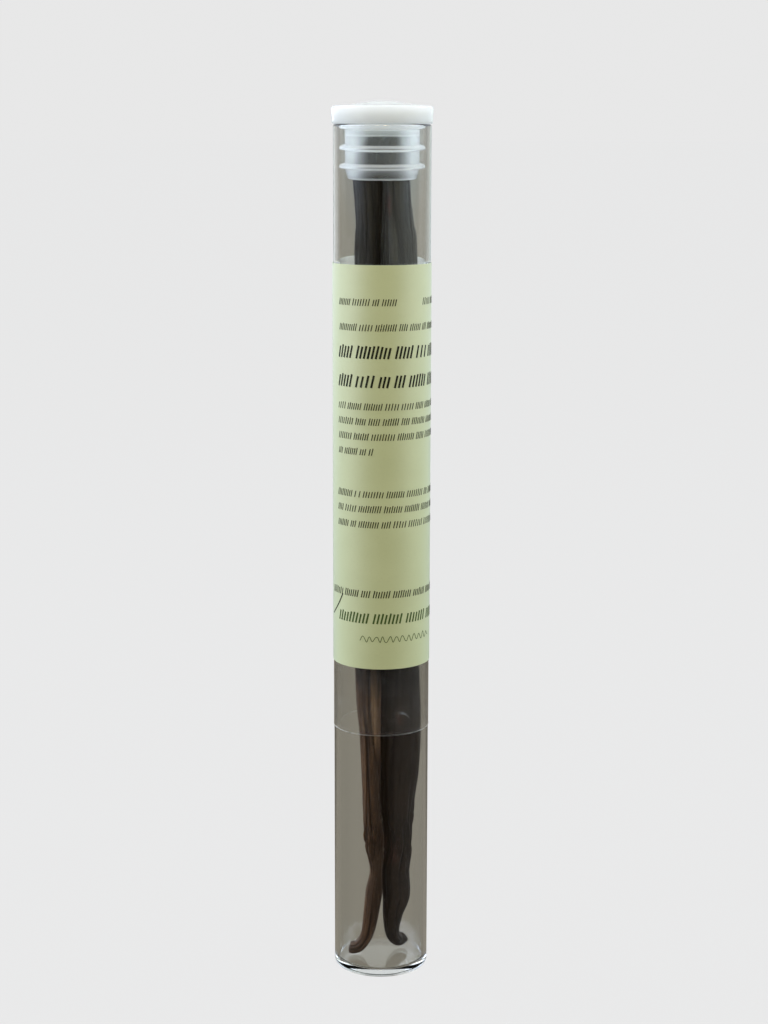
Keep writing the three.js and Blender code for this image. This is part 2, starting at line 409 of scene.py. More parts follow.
def pod_finish(name, valley, ridge, warm, upper_valley, upper, upper_warm, mark):
    """Cured pod skin, matt and oily in turns, with fine streaks and pores. The ridges are browner low
    down and greyer towards the tip. The darker colour is laid as painted shade in the creases, the seam
    and where the pods touch, and in the streaks and pores; the lighter spots are stains and painted
    highlights."""
    skin, tree, shader = new_finish(
        name, Specular_IOR_Level=0.2, Coat_Weight=0.03, Coat_Roughness=0.3, IOR=1.46,
    )

    def painted(attribute):
        node = tree.nodes.new("ShaderNodeAttribute")
        node.attribute_name = attribute
        return node.outputs["Fac"]

    place = tree.nodes.new("ShaderNodeTexCoord")
    split = tree.nodes.new("ShaderNodeSeparateXYZ")
    tree.links.new(place.outputs["Object"], split.inputs["Vector"])
    streaks = grain(tree, (560, 560, 60), detail=5, roughness=0.6)
    patches = grain(tree, (260, 260, 90), detail=5, roughness=0.6)
    pores = grain(tree, (1500, 1500, 1000), detail=2, roughness=0.55)
    mottled = spread(tree, patches, 0.35, 0.68, 0, 1)
    lower = blend_colours(tree, mottled, ridge, warm)
    higher = blend_colours(tree, mottled, upper, upper_warm)
    by_height = spread(tree, split.outputs["Z"], 60 * MM, 120 * MM, 0, 1)
    ridges = blend_colours(tree, by_height, lower, higher)
    furrows = blend_colours(tree, by_height, valley, upper_valley)
    # Stains, and painted highlights such as the long light streak on the left pod.
    stained_and_highlighted = blend_colours(tree, painted("mark"), ridges, mark)
    dulled = blend_colours(tree, spread(tree, streaks, 0.42, 0.7, 0, 0.5), stained_and_highlighted, furrows)
    pored = blend_colours(tree, spread(tree, pores, 0.45, 0.68, 0, 0.35), dulled, furrows)
    # Painted shade in the creases, the seam and where the pods touch.
    skin_colour = blend_colours(tree, painted("crease"), pored, furrows)
    tree.links.new(skin_colour, shader.inputs["Base Color"])
    tree.links.new(spread(tree, streaks, 0.3, 0.7, 0.34, 0.6), shader.inputs["Roughness"])
    coarse = raise_surface(tree, shader, streaks, 0.45, 0.12 * MM)
    raise_surface(tree, shader, pores, 0.15, 0.05 * MM, below=coarse)
    return skin


def left_seam(travelled):
    """The left pod's seam wanders a little and is as strong all along."""
    wander = 0.12 * math.sin(travelled / 24)
    return math.radians(-112) + wander, 0.35


def right_seam(travelled):
    """The right pod's seam winds round it. It is strong at the pinch and under the tip."""
    near_stem = math.exp(-(((travelled - 26) / 11) ** 4))
    under_tip = math.exp(-(((travelled - 152) / 8) ** 4))
    return math.radians(-146 + 0.4 * travelled), 0.08 + 0.9 * (near_stem + under_tip)


# A stain or painted highlight is its place from left to right, its height, half of its width and half
# of its length, all in millimetres, and its strength. The long light streak on the left pod and the
# light patches at the pinch on both pods are painted highlights, and the spot near the right pod's top
# is a stain. The painted shade where the pods touch is where it starts and where it is full, and its
# top.
left_pod = pod_body("left_pod", LEFT_POD, {
    "seed": 3.7, "twist": 0.0035, "seam": left_seam, "contact_shade_span": (-2.6, -1.0, 52),
    "stains_and_highlights": ((-1.6, 58.5, 0.65, 8.5, 1.0), (-3.6, 54.2, 0.45, 1.9, 0.4), (-0.8, 24.2, 0.55, 3.0, 0.5)),
})
# In both pod finishes the valley colours are painted shade, and the last colour is for stains and
# painted highlights.
left_pod.data.materials.append(pod_finish(
    "brown_pod_skin", valley=(0.019, 0.011, 0.0065, 1), ridge=(0.062, 0.033, 0.017, 1),
    warm=(0.105, 0.058, 0.030, 1), upper_valley=(0.007, 0.0065, 0.005, 1),
    upper=(0.008, 0.0072, 0.0048, 1), upper_warm=(0.026, 0.0225, 0.015, 1), mark=(0.25, 0.165, 0.10, 1),
))
right_pod = pod_body("right_pod", RIGHT_POD, {
    "seed": 11.2, "twist": -0.002, "seam": right_seam,
    "stains_and_highlights": ((1.3, 163.5, 0.5, 2.2, 1.0), (3.7, 55.2, 1.0, 1.3, 0.8), (2.0, 25.4, 1.3, 2.8, 1.0)),
})
right_pod.data.materials.append(pod_finish(
    "dark_pod_skin", valley=(0.012, 0.0085, 0.0065, 1), ridge=(0.015, 0.010, 0.007, 1),
    warm=(0.027, 0.018, 0.012, 1), upper_valley=(0.010, 0.010, 0.008, 1),
    upper=(0.016, 0.016, 0.013, 1), upper_warm=(0.046, 0.045, 0.036, 1), mark=(0.065, 0.032, 0.025, 1),
))
for pod, node, slot in ((left_pod, "pod_left", "pod_brown"), (right_pod, "pod_right", "pod_dark")):
    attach(pod, "root")
    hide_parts(node)


# The stopper is moulded in one piece of soft natural plastic, cloudy rather than clear. Its hollow
# plug has thin ribs that press on the bore, and its head rests on the rim.
stopper_low, stopper_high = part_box("stopper")
HEAD_RADIUS = stopper_high.x
SEAT = TUBE_HEIGHT + 0.05 * MM
HEAD_HEIGHT = 3.6 * MM
HEAD_TOP = SEAT + HEAD_HEIGHT
DOME_RISE = stopper_high.z - HEAD_TOP
EDGE_ROUNDING = 0.6 * MM
HEAD_TAPER = 0.15 * MM
HEAD_THICKNESS = 1.9 * MM
PLUG_RADIUS = 7.5 * MM
PLUG_END_RADIUS = 7.1 * MM
PLUG_WALL = 0.55 * MM
PLUG_END = stopper_low.z
RIB_RADIUS = 8.83 * MM
RIB_DEPTHS = (0.9 * MM, 5.1 * MM, 8.8 * MM)
RIB_ROOT = 1.1 * MM
RIB_EDGE = 0.5 * MM
NECK_FILLET = 0.3 * MM
BAND_DEPTH = 1.2 * MM
NECK_DEPTH = 2.5 * MM

# A rib's flank, from its foot on the plug to its shoulder: how far it stands off the plug, and how far
# it lies beyond half of the root's thickness.
RIB_FLANK = ((0.12 * MM, 0.1 * MM), (0.3 * MM, -0.06 * MM))

# The spot on the head where the plastic was let into the mould: its radius, and the heights of its
# middle and of the groove round it, as shares of the dome's rise.
GATE_RADIUS = 0.8 * MM
GATE_MIDDLE = 0.95
GATE_GROOVE = 0.9

# How clear the plastic is at each height over the plug's end: cloudy at the rounded end, clear in the
# thin wall, cloudy in a line at the neck's foot, rather clear in the neck, and cloudy in the band under
# the head and in the head.
CLEARNESS = (
    (0.0, 0.4), (0.25 * MM, 0.45), (0.5 * MM, 0.98),
    (SEAT - NECK_DEPTH - PLUG_END - 0.3 * MM, 0.98), (SEAT - NECK_DEPTH - PLUG_END, 0.5),
    (SEAT - NECK_DEPTH - PLUG_END + 0.3 * MM, 0.8), (SEAT - BAND_DEPTH - PLUG_END - 0.2 * MM, 0.75),
    (SEAT - BAND_DEPTH - PLUG_END, 0.1), (SEAT - PLUG_END, 0.04),
)


def rib_outline(height):
    """One sealing rib, thick at the plug and rounded at its edge, from its upper root to its lower."""
    flank = [(PLUG_RADIUS + off, RIB_ROOT / 2 + beyond) for off, beyond in RIB_FLANK]
    points = [(radius, height + rise) for radius, rise in flank]
    points += arc((RIB_RADIUS - RIB_EDGE / 2, height), RIB_EDGE / 2, 75, -75, 8)
    points += [(radius, height - rise) for radius, rise in reversed(flank)]
    return points


def stopper_outline():
    """Over the head, down the ribbed outside of the plug, round its end and up its hollow inside."""
    shoulder = HEAD_RADIUS - EDGE_ROUNDING
    lower_edge = EDGE_ROUNDING / 2
    side = HEAD_RADIUS - HEAD_TAPER
    gate_top = HEAD_TOP + DOME_RISE * GATE_MIDDLE
    outline = [(0, gate_top), (GATE_RADIUS * 0.7, gate_top)]
    outline += [(GATE_RADIUS, HEAD_TOP + DOME_RISE * GATE_GROOVE)]
    dome_steps = 16
    for step in range(2, dome_steps):
        reach = step / dome_steps
        outline.append((shoulder * reach, HEAD_TOP + DOME_RISE * math.cos(reach * math.pi / 2) ** 2))
    outline += arc((shoulder, HEAD_TOP - EDGE_ROUNDING), EDGE_ROUNDING, 90, 0, 10)
    outline += arc((side - lower_edge, SEAT + lower_edge), lower_edge, 0, -90, 6)
    outline += [(PLUG_RADIUS + NECK_FILLET, SEAT), (PLUG_RADIUS + 0.05 * MM, SEAT - NECK_FILLET / 2)]
    for depth in RIB_DEPTHS:
        outline += rib_outline(SEAT - depth)
    end = PLUG_WALL / 2
    outline += arc((PLUG_END_RADIUS - end, PLUG_END + end), end, 0, -180, 8)
    hollow = PLUG_RADIUS - PLUG_WALL
    ceiling = HEAD_TOP - HEAD_THICKNESS
    outline += [(hollow, SEAT)]
    outline += arc((hollow - EDGE_ROUNDING, ceiling - EDGE_ROUNDING), EDGE_ROUNDING, 0, 90, 6)
    outline += [(0, ceiling)]
    return outline


def maths(tree, operation, *values):
    """The result of a Math node on plain numbers or the outputs of other nodes."""
    made = tree.nodes.new("ShaderNodeMath")
    made.operation = operation
    for index, value in enumerate(values):
        if isinstance(value, (int, float)):
            made.inputs[index].default_value = value
        else:
            tree.links.new(value, made.inputs[index])
    return made.outputs[0]


def colours_along(tree, share, stops):
    """A colour that goes through stops, each a share from 0 to 1 and a colour. The first is at 0."""
    ramp = tree.nodes.new("ShaderNodeValToRGB")
    elements = ramp.color_ramp.elements
    elements.remove(elements[1])
    elements[0].color = (*stops[0][1], 1)
    for place, colour in stops[1:]:
        elements.new(place).color = (*colour, 1)
    tree.links.new(share, ramp.inputs["Fac"])
    return ramp.outputs["Color"]


def cloudy_finish():
    """Natural plastic is clear enough in the thin plug to show what is behind, and cloudy where it is
    thick or seen along its wall, in the ribs, in the neck and in the head."""
    plastic, tree, shader = new_finish(
        "cloudy_plastic", IOR=1.5, Subsurface_Weight=1.0, Subsurface_Scale=0.02,
        Subsurface_Radius=(1.0, 1.0, 1.0), Specular_IOR_Level=0.12,
    )
    cloud = grain(tree, (190, 190, 260), detail=4)
    tree.links.new(spread(tree, cloud, 0.3, 0.7, 0.14, 0.2), shader.inputs["Roughness"])
    place = tree.nodes.new("ShaderNodeTexCoord")
    split = tree.nodes.new("ShaderNodeSeparateXYZ")
    tree.links.new(place.outputs["Object"], split.inputs["Vector"])
    # The head's colour is darker than the plug's: painted shade that tones down how brightly the lamps
    # light the head.
    in_head = spread(tree, split.outputs["Z"], SEAT - 0.3 * MM, SEAT + 0.3 * MM, 0, 1)
    plug_and_shaded_head_colour = blend_colours(tree, in_head, (0.69, 0.725, 0.705, 1), (0.575, 0.585, 0.54, 1))
    tree.links.new(plug_and_shaded_head_colour, shader.inputs["Base Color"])
    flat = tree.nodes.new("ShaderNodeVectorMath")
    flat.operation = "MULTIPLY"
    flat.inputs[1].default_value = (1, 1, 0)
    tree.links.new(place.outputs["Object"], flat.inputs[0])
    reach = tree.nodes.new("ShaderNodeVectorMath")
    reach.operation = "LENGTH"
    tree.links.new(flat.outputs["Vector"], reach.inputs[0])
    facing = tree.nodes.new("ShaderNodeLayerWeight")
    facing.inputs["Blend"].default_value = 0.5
    plug_height = SEAT - PLUG_END
    stops = [(height / plug_height, (clear, clear, clear)) for height, clear in CLEARNESS]
    by_height = colours_along(tree, spread(tree, split.outputs["Z"], PLUG_END, SEAT, 0, 1), stops)
    rib_reach = PLUG_RADIUS + 0.5 * MM
    off_ribs = spread(tree, reach.outputs["Value"], PLUG_RADIUS, rib_reach, 1.0, 0.72)
    through_wall = spread(tree, facing.outputs["Facing"], 0.05, 0.4, 1.0, 0.5)
    clearness = maths(tree, "MULTIPLY", by_height, maths(tree, "MULTIPLY", off_ribs, through_wall))
    tree.links.new(clearness, shader.inputs["Transmission Weight"])
    fine = grain(tree, (1500, 1500, 1500), detail=2)
    raise_surface(tree, shader, fine, 0.04, 0.03 * MM)
    return plastic


stopper = turned_body("ribbed_stopper", stopper_outline(), TUBE_SIDES)
stopper.data.materials.append(cloudy_finish())
stopper.visible_shadow = False
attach(stopper, "root")
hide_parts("stopper")


# A clear film is wrapped round the tube under the label and hangs out below it. It clings to the
# glass, with an arched crease, a pointed one and a slightly curled lower edge.
film_low, film_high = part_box("film")
SKIN_HALF_ANGLE = math.radians(165)
FILM_THICKNESS = 0.05 * MM
FILM_RADIUS = TUBE_RADIUS + 0.02 * MM
FILM_OVER_BOTTOM = film_low.z
FILM_RIM = 0.1 * MM
FILM_COLUMNS = 330
FILM_ROWS = 90
CREASE_LIFT = 0.2 * MM
CURL_HEIGHT = 0.7 * MM
CURL_LIFT = 0.07 * MM
FILM_WAVES = 0.02 * MM

# The arched crease: the angle where it starts and the angle that it spans, the height of its feet over
# the film's edge, its rise and half the width of its ridge. The pointed one: its angle and height, and
# half its width as an angle and half its height.
ARCH_START = 0.1
ARCH_LENGTH = 0.6
ARCH_FOOT = 1.6 * MM
ARCH_RISE = 2.9 * MM
ARCH_HALF_WIDTH = 0.3 * MM
POINT_ANGLE = -0.38
POINT_HEIGHT = 2.6 * MM
POINT_HALF_ANGLE = 0.045
POINT_HALF_HEIGHT = 2.4 * MM


def even_heights(low, high, count):
    """Heights from low to high, with even gaps between them."""
    return [low + (high - low) * step / count for step in range(count + 1)]


def wrapped_sheet(name, radius, thickness, heights, columns, lift):
    """A thin closed sheet bent round the tube. lift(angle, height) is how far it stands off."""
    shape = bmesh.new()
    grid = []
    for height in heights:
        line = []
        for column in range(columns + 1):
            angle = SKIN_HALF_ANGLE * (2 * column / columns - 1)
            reaches = [radius + skin + lift(angle, height) for skin in (0, thickness)]
            line.append([
                shape.verts.new((reach * math.sin(angle), -reach * math.cos(angle), height))
                for reach in reaches
            ])
        grid.append(line)
    for lower, upper in zip(grid, grid[1:]):
        for column in range(columns):
            corners = (lower[column], lower[column + 1], upper[column + 1], upper[column])
            for skin in (0, 1):
                shape.faces.new([corner[skin] for corner in corners])
        for end in (0, columns):
            shape.faces.new((lower[end][0], upper[end][0], upper[end][1], lower[end][1]))
    for line in (grid[0], grid[-1]):
        for start, end in zip(line, line[1:]):
            shape.faces.new((start[0], end[0], end[1], start[1]))
    bmesh.ops.recalc_face_normals(shape, faces=shape.faces)
    return finished_mesh(name, shape)


def film_lift(angle, height):
    """The creases of the film: an arched one at the right, a pointed one at the left, a curled edge."""
    over_edge = height - FILM_OVER_BOTTOM
    along = (angle - ARCH_START) / ARCH_LENGTH
    lift = 0.0
    if 0 < along < 1:
        arch_height = ARCH_FOOT + ARCH_RISE * math.sin(along * math.pi) ** 0.7
        crest = math.exp(-(((over_edge - arch_height) / ARCH_HALF_WIDTH) ** 2))
        lift += CREASE_LIFT * crest * math.sin(along * math.pi) ** 0.5
    sideways = (angle - POINT_ANGLE) / POINT_HALF_ANGLE
    upward = (over_edge - POINT_HEIGHT) / POINT_HALF_HEIGHT
    lift += CREASE_LIFT * math.exp(-(sideways ** 2 + upward ** 2))
    curl = max(0.0, 1 - over_edge / CURL_HEIGHT)
    lift += curl ** 2 * CURL_LIFT * (1 + noise.noise(Vector((angle * 4, 1.5, 0))))
    lift += FILM_WAVES * noise.noise(Vector((angle * 3, height * 220, 4.1)))
    return lift


def film_finish():
    """Clear film with a little haze and soft ripples."""
    film, tree, shader = new_finish(
        "clear_film", Base_Color=(0.99, 0.985, 0.97, 1), Transmission_Weight=0.996, IOR=1.4,
    )
    haze = grain(tree, (110, 110, 160), detail=4)
    tree.links.new(spread(tree, haze, 0.4, 0.75, 0.03, 0.16), shader.inputs["Roughness"])
    ripples = grain(tree, (140, 140, 260), detail=3)
    raise_surface(tree, shader, ripples, 0.15, 0.05 * MM)
    return film


def film_edge_finish():
    """The cut edge of the film scatters light and shows as a thin pale line."""
    edge, tree, shader = new_finish(
        "film_edge", Base_Color=(0.86, 0.88, 0.84, 1), Transmission_Weight=0.993, IOR=1.25,
    )
    nicks = grain(tree, (700, 700, 700), detail=3)
    tree.links.new(spread(tree, nicks, 0.35, 0.7, 0.25, 0.5), shader.inputs["Roughness"])
    return edge


film_heights = [FILM_OVER_BOTTOM]
film_heights += even_heights(FILM_OVER_BOTTOM + FILM_RIM, film_high.z, FILM_ROWS)
clear_film = wrapped_sheet(
    "clear_film", FILM_RADIUS, FILM_THICKNESS, film_heights, FILM_COLUMNS, film_lift,
)
clear_film.data.materials.append(film_finish())
clear_film.data.materials.append(film_edge_finish())
for face in clear_film.data.polygons:
    if face.center.z < FILM_OVER_BOTTOM + FILM_RIM:
        face.material_index = 1
clear_film.visible_shadow = False
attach(clear_film, "root")
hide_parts("film")


# The label is smooth sage green paper with a faint sheen and a white back, stuck round the tube over
# the film's top edge. Its two ends leave a gap at the back.
label_low, label_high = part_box("label")
PAPER_THICKNESS = 0.1 * MM
LABEL_RADIUS = TUBE_RADIUS + 0.1 * MM
LABEL_COLUMNS = 220
LABEL_ROWS = 120
PAPER_WAVES = 0.012 * MM
PEELED_ANGLE = 0.12
PEEL_LIFT = 0.10 * MM


def label_lift(angle, height):
    """The paper's slight waves, and its two ends that have come up a little."""
    waves = PAPER_WAVES * noise.noise(Vector((angle * 2.5, height * 60, 9.3)))
    near_end = max(0.0, (abs(angle) - SKIN_HALF_ANGLE + PEELED_ANGLE) / PEELED_ANGLE)
    return waves + PEEL_LIFT * near_end ** 2


def paper_finish(name, pale, deep, fibre, **gloss):
    """Paper with a soft mottle and fine fibres."""
    paper, tree, shader = new_finish(name, **gloss)
    mottle = grain(tree, (95, 95, 120), detail=6, roughness=0.6)
    fibres = grain(tree, (1700, 1700, 2600), detail=3)
    base = blend_colours(tree, spread(tree, mottle, 0.3, 0.7, 0, 1), deep, pale)
    fibred = blend_colours(tree, spread(tree, fibres, 0.55, 0.8, 0, 0.35), base, fibre)
    tree.links.new(fibred, shader.inputs["Base Color"])
    tree.links.new(spread(tree, mottle, 0.3, 0.7, 0.44, 0.54), shader.inputs["Roughness"])
    raise_surface(tree, shader, fibres, 0.12, 0.02 * MM)
    return paper


label_heights = even_heights(label_low.z, label_high.z, LABEL_ROWS)
paper_label = wrapped_sheet(
    "paper_label", LABEL_RADIUS, PAPER_THICKNESS, label_heights, LABEL_COLUMNS, label_lift,
)
paper_label.data.materials.append(paper_finish(
    "sage_paper", pale=(0.60, 0.63, 0.315, 1), deep=(0.56, 0.59, 0.285, 1), fibre=(0.51, 0.53, 0.25, 1),
    Specular_IOR_Level=0.6, Coat_Weight=1.0, Coat_Roughness=0.5, Coat_IOR=1.8, Sheen_Weight=0.4,
    Sheen_Tint=(0.6, 0.85, 1.0, 1),
))
paper_label.data.materials.append(paper_finish(
    "white_paper_back", pale=(0.80, 0.81, 0.77, 1), deep=(0.75, 0.76, 0.72, 1),
    fibre=(0.70, 0.71, 0.67, 1), Specular_IOR_Level=0.3,
))
for face in paper_label.data.polygons:
    if face.normal.x * face.center.x + face.normal.y * face.center.y < 0:
        face.material_index = 1
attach(paper_label, "root")
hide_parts("label")


# The print is only plain slanted strokes in rows: thin dark ones, two bold rows and a green row,
# with a thin wavy green line under them and a tick at their left. The ink lies on the paper.
INK_RADIUS = LABEL_RADIUS + PAPER_THICKNESS + 0.01 * MM
INK_THICKNESS = 0.02 * MM
STROKE_LEAN = math.radians(13)

# The gap between groups of strokes, as a share of their pitch, the fewest and the most pitches of a
# group, and how much shorter the shortest stroke is than the tallest.
WORD_GAP = 1.9
WORD_STROKES = (2, 9)
STROKE_UNEVENNESS = 0.15

# Each row: the height of its base line, the height of its strokes, their pitch and their width, and
# where the row starts and ends along the paper, all in millimetres. The front middle is at zero.
DARK_ROWS = (
    (143.9, 1.5, 0.50, 0.20, -10.3, 2.7), (143.9, 1.5, 0.50, 0.20, 9.7, 24.0),
    (138.8, 1.5, 0.50, 0.20, -10.2, 21.0),
    (133.2, 2.7, 0.84, 0.44, -10.4, 19.0),
    (127.3, 2.7, 0.84, 0.44, -10.5, 22.0),
    (122.7, 1.5, 0.50, 0.20, -10.6, 25.5), (119.6, 1.5, 0.50, 0.20, -10.6, 26.5),
    (116.5, 1.5, 0.50, 0.20, -10.5, 24.0), (113.4, 1.5, 0.50, 0.20, -10.5, -2.1),
    (104.6, 1.5, 0.50, 0.20, -10.8, 25.0), (101.5, 1.5, 0.50, 0.20, -10.8, 26.0),
    (98.3, 1.5, 0.50, 0.20, -10.8, 18.0),
    (83.6, 1.6, 0.53, 0.22, -13.2, 22.5),
)
GREEN_ROWS = ((78.1, 2.3, 0.80, 0.38, -10.4, 20.0),)


def add_input(tree, name, kind, value=None):
    """Adds a named input to a tree and returns the identifier that a modifier knows it by."""
    socket = tree.interface.new_socket(name, in_out="INPUT", socket_type=kind)
    if value is not None:
        socket.default_value = value
    return socket.identifier


def stroke_rows_tree():
    """Sets slanted strokes along the line of each word and bends all of them round the label."""
    tree = bpy.data.node_groups.new("stroke_rows", "GeometryNodeTree")
    keys = {
        "words": add_input(tree, "Words", "NodeSocketGeometry"),
        "radius": add_input(tree, "Radius", "NodeSocketFloat", 0.01),
        "lean": add_input(tree, "Lean", "NodeSocketFloat", 0.2),
        "thickness": add_input(tree, "Thickness", "NodeSocketFloat", 0.00002),
        "unevenness": add_input(tree, "Unevenness", "NodeSocketFloat", 0.1),
        "seed": add_input(tree, "Seed", "NodeSocketInt", 0),
        "ink": add_input(tree, "Ink", "NodeSocketMaterial"),
    }
    tree.interface.new_socket("Strokes", in_out="OUTPUT", socket_type="NodeSocketGeometry")

    def node(kind, **settings):
        made = tree.nodes.new(kind)
        for key, value in settings.items():
            setattr(made, key, value)
        return made

    def word_value(name):
        made = node("GeometryNodeInputNamedAttribute", data_type="FLOAT")
        made.inputs["Name"].default_value = name
        return made.outputs["Attribute"]

    def vector(x=0.0, y=0.0, z=0.0):
        made = node("ShaderNodeCombineXYZ")
        for axis, value in zip("XYZ", (x, y, z)):
            if isinstance(value, float):
                made.inputs[axis].default_value = value
            else:
                tree.links.new(value, made.inputs[axis])
        return made.outputs["Vector"]

    start = node("NodeGroupInput")
    line = node("GeometryNodeMeshToCurve")
    tree.links.new(start.outputs["Words"], line.inputs["Mesh"])
    spaced = node("GeometryNodeResampleCurve")
    spaced.mode = "LENGTH"
    tree.links.new(line.outputs["Curve"], spaced.inputs["Curve"])
    tree.links.new(word_value("pitch"), spaced.inputs["Length"])

    stroke = node("GeometryNodeMeshCube")
    stroke.inputs["Size"].default_value = (1, 1, 1)
    standing = node("GeometryNodeTransform")
    standing.inputs["Translation"].default_value = (0, 0.5, 0.5)
    tree.links.new(stroke.outputs["Mesh"], standing.inputs["Geometry"])

    placed = node("GeometryNodeInstanceOnPoints")
    tree.links.new(spaced.outputs["Curve"], placed.inputs["Points"])
    tree.links.new(standing.outputs["Geometry"], placed.inputs["Instance"])
    turned = vector(z=maths(tree, "MULTIPLY", start.outputs["Lean"], -1.0))
    tree.links.new(turned, placed.inputs["Rotation"])
    chance = node("FunctionNodeRandomValue", data_type="FLOAT")
    tree.links.new(start.outputs["Seed"], chance.inputs["Seed"])
    shorter = maths(tree, "MULTIPLY", chance.outputs[1], start.outputs["Unevenness"])
    tall = maths(tree, "MULTIPLY", word_value("tall"), maths(tree, "SUBTRACT", 1.0, shorter))
    stroke_size = vector(word_value("width"), tall, start.outputs["Thickness"])
    tree.links.new(stroke_size, placed.inputs["Scale"])
    real = node("GeometryNodeRealizeInstances")
    tree.links.new(placed.outputs["Instances"], real.inputs["Geometry"])

    flat = node("ShaderNodeSeparateXYZ")
    tree.links.new(node("GeometryNodeInputPosition").outputs["Position"], flat.inputs["Vector"])
    angle = maths(tree, "DIVIDE", flat.outputs["X"], start.outputs["Radius"])
    reach = maths(tree, "ADD", start.outputs["Radius"], flat.outputs["Z"])
    sideways = maths(tree, "MULTIPLY", reach, maths(tree, "SINE", angle))
    backwards = maths(tree, "MULTIPLY", reach, maths(tree, "COSINE", angle))
    forward = maths(tree, "MULTIPLY", backwards, -1.0)
    wrapped = node("GeometryNodeSetPosition")
    tree.links.new(real.outputs["Geometry"], wrapped.inputs["Geometry"])
    tree.links.new(vector(sideways, forward, flat.outputs["Y"]), wrapped.inputs["Position"])
    inked = node("GeometryNodeSetMaterial")
    tree.links.new(wrapped.outputs["Geometry"], inked.inputs["Geometry"])
    tree.links.new(start.outputs["Ink"], inked.inputs["Material"])
    tree.links.new(inked.outputs["Geometry"], node("NodeGroupOutput").inputs[0])
    return tree, keys


def word_lines(name, rows, seed):
    """One flat line for each word of a row, with the sizes of its strokes as attributes."""
    lengths = random.Random(seed)
    corners = []
    edges = []
    sizes = []
    for base, tall, pitch, width, start, end in rows:
        place = start
        while place < end - pitch:
            length = min(lengths.randint(*WORD_STROKES) * pitch, end - place)
            edges.append((len(corners), len(corners) + 1))
            corners += [(place * MM, base * MM, 0), ((place + length) * MM, base * MM, 0)]
            sizes += [(tall, pitch, width)] * 2
            place += length + WORD_GAP * pitch
    mesh = bpy.data.meshes.new(name)
    mesh.from_pydata(corners, edges, [])
    for column, attribute in enumerate(("tall", "pitch", "width")):
        values = mesh.attributes.new(attribute, "FLOAT", "POINT")
        values.data.foreach_set("value", [size[column] * MM for size in sizes])
    lines = bpy.data.objects.new(name, mesh)
    bpy.context.scene.collection.objects.link(lines)
    return lines


def printed_rows(name, rows, ink, seed):
    """Runs the stroke tree on the words and keeps its result as a plain mesh."""
    lines = word_lines(name + "_lines", rows, seed)
    tree, keys = stroke_rows_tree()
    modifier = lines.modifiers.new("strokes", "NODES")
    modifier.node_group = tree
    modifier[keys["radius"]] = INK_RADIUS
    modifier[keys["lean"]] = STROKE_LEAN
    modifier[keys["thickness"]] = INK_THICKNESS
    modifier[keys["unevenness"]] = STROKE_UNEVENNESS
    modifier[keys["seed"]] = seed
    modifier[keys["ink"]] = ink
    evaluated = lines.evaluated_get(bpy.context.evaluated_depsgraph_get())
    mesh = bpy.data.meshes.new_from_object(evaluated)
    mesh.name = name
    lines.modifiers.remove(modifier)
    bpy.data.objects.remove(lines)
    piece = bpy.data.objects.new(name, mesh)
    bpy.context.scene.collection.objects.link(piece)
    return piece


def pen_line(name, points, width, ink):
    """A thin flat line of ink along points (along the paper, height), in millimetres."""
    shape = bmesh.new()
    rows = []
    for index, (along, height) in enumerate(points):
        before = Vector(points[max(index - 1, 0)])
        after = Vector(points[min(index + 1, len(points) - 1)])
        across = (after - before).orthogonal().normalized() * width / 2
        ring = []
        for side, lift in ((-1, 0), (1, 0), (1, INK_THICKNESS), (-1, INK_THICKNESS)):
            place = (Vector((along, height)) + across * side) * MM
            angle = place.x / INK_RADIUS
            reach = INK_RADIUS + lift
            ring.append(shape.verts.new((reach * math.sin(angle), -reach * math.cos(angle), place.y)))
        rows.append(ring)
    for ring, following in zip(rows, rows[1:]):
        for corner in range(4):
            beside = (corner + 1) % 4
            shape.faces.new((ring[corner], ring[beside], following[beside], following[corner]))
    shape.faces.new(rows[0])
    shape.faces.new(rows[-1])
    bmesh.ops.recalc_face_normals(shape, faces=shape.faces)
    piece = finished_mesh(name, shape)
    piece.data.materials.append(ink)
    return piece


def wavy_points(start, end, middle, waves, swing, step=0.06):
    """A handmade-looking wave about a height, with its number of radians to the millimetre and its
    swing. Its swing swells and shrinks, and its waves draw together and apart, along the line."""
    points = []
    for index in range(int((end - start) / step) + 1):
        along = start + index * step
        swell = swing + 0.4 * noise.noise(Vector((along * 0.45, 2.7, 0)))
        drift = 1.3 * noise.noise(Vector((along * 0.8, 0, 0)))
        points.append((along, middle + swell * math.sin(along * waves + drift)))
    return points


def bowed_points(start, end, bow, count=24):
    """Points on a slightly bowed stroke, close enough together to follow the paper round the tube."""
    first, last = Vector(start), Vector(end)
    aside = (last - first).orthogonal().normalized() * bow
    points = []
    for index in range(count + 1):
        share = index / count
        points.append(tuple(first.lerp(last, share) + aside * math.sin(share * math.pi)))
    return points


def ink_finish(name, dark, light):
    """Matt ink, a little worn in spots."""
    ink, tree, shader = new_finish(name, Specular_IOR_Level=0.2)
    wear = grain(tree, (900, 900, 900), detail=4)
    shade = blend_colours(tree, spread(tree, wear, 0.4, 0.75, 0, 1), dark, light)
    tree.links.new(shade, shader.inputs["Base Color"])
    tree.links.new(spread(tree, wear, 0.3, 0.7, 0.5, 0.65), shader.inputs["Roughness"])
    return ink


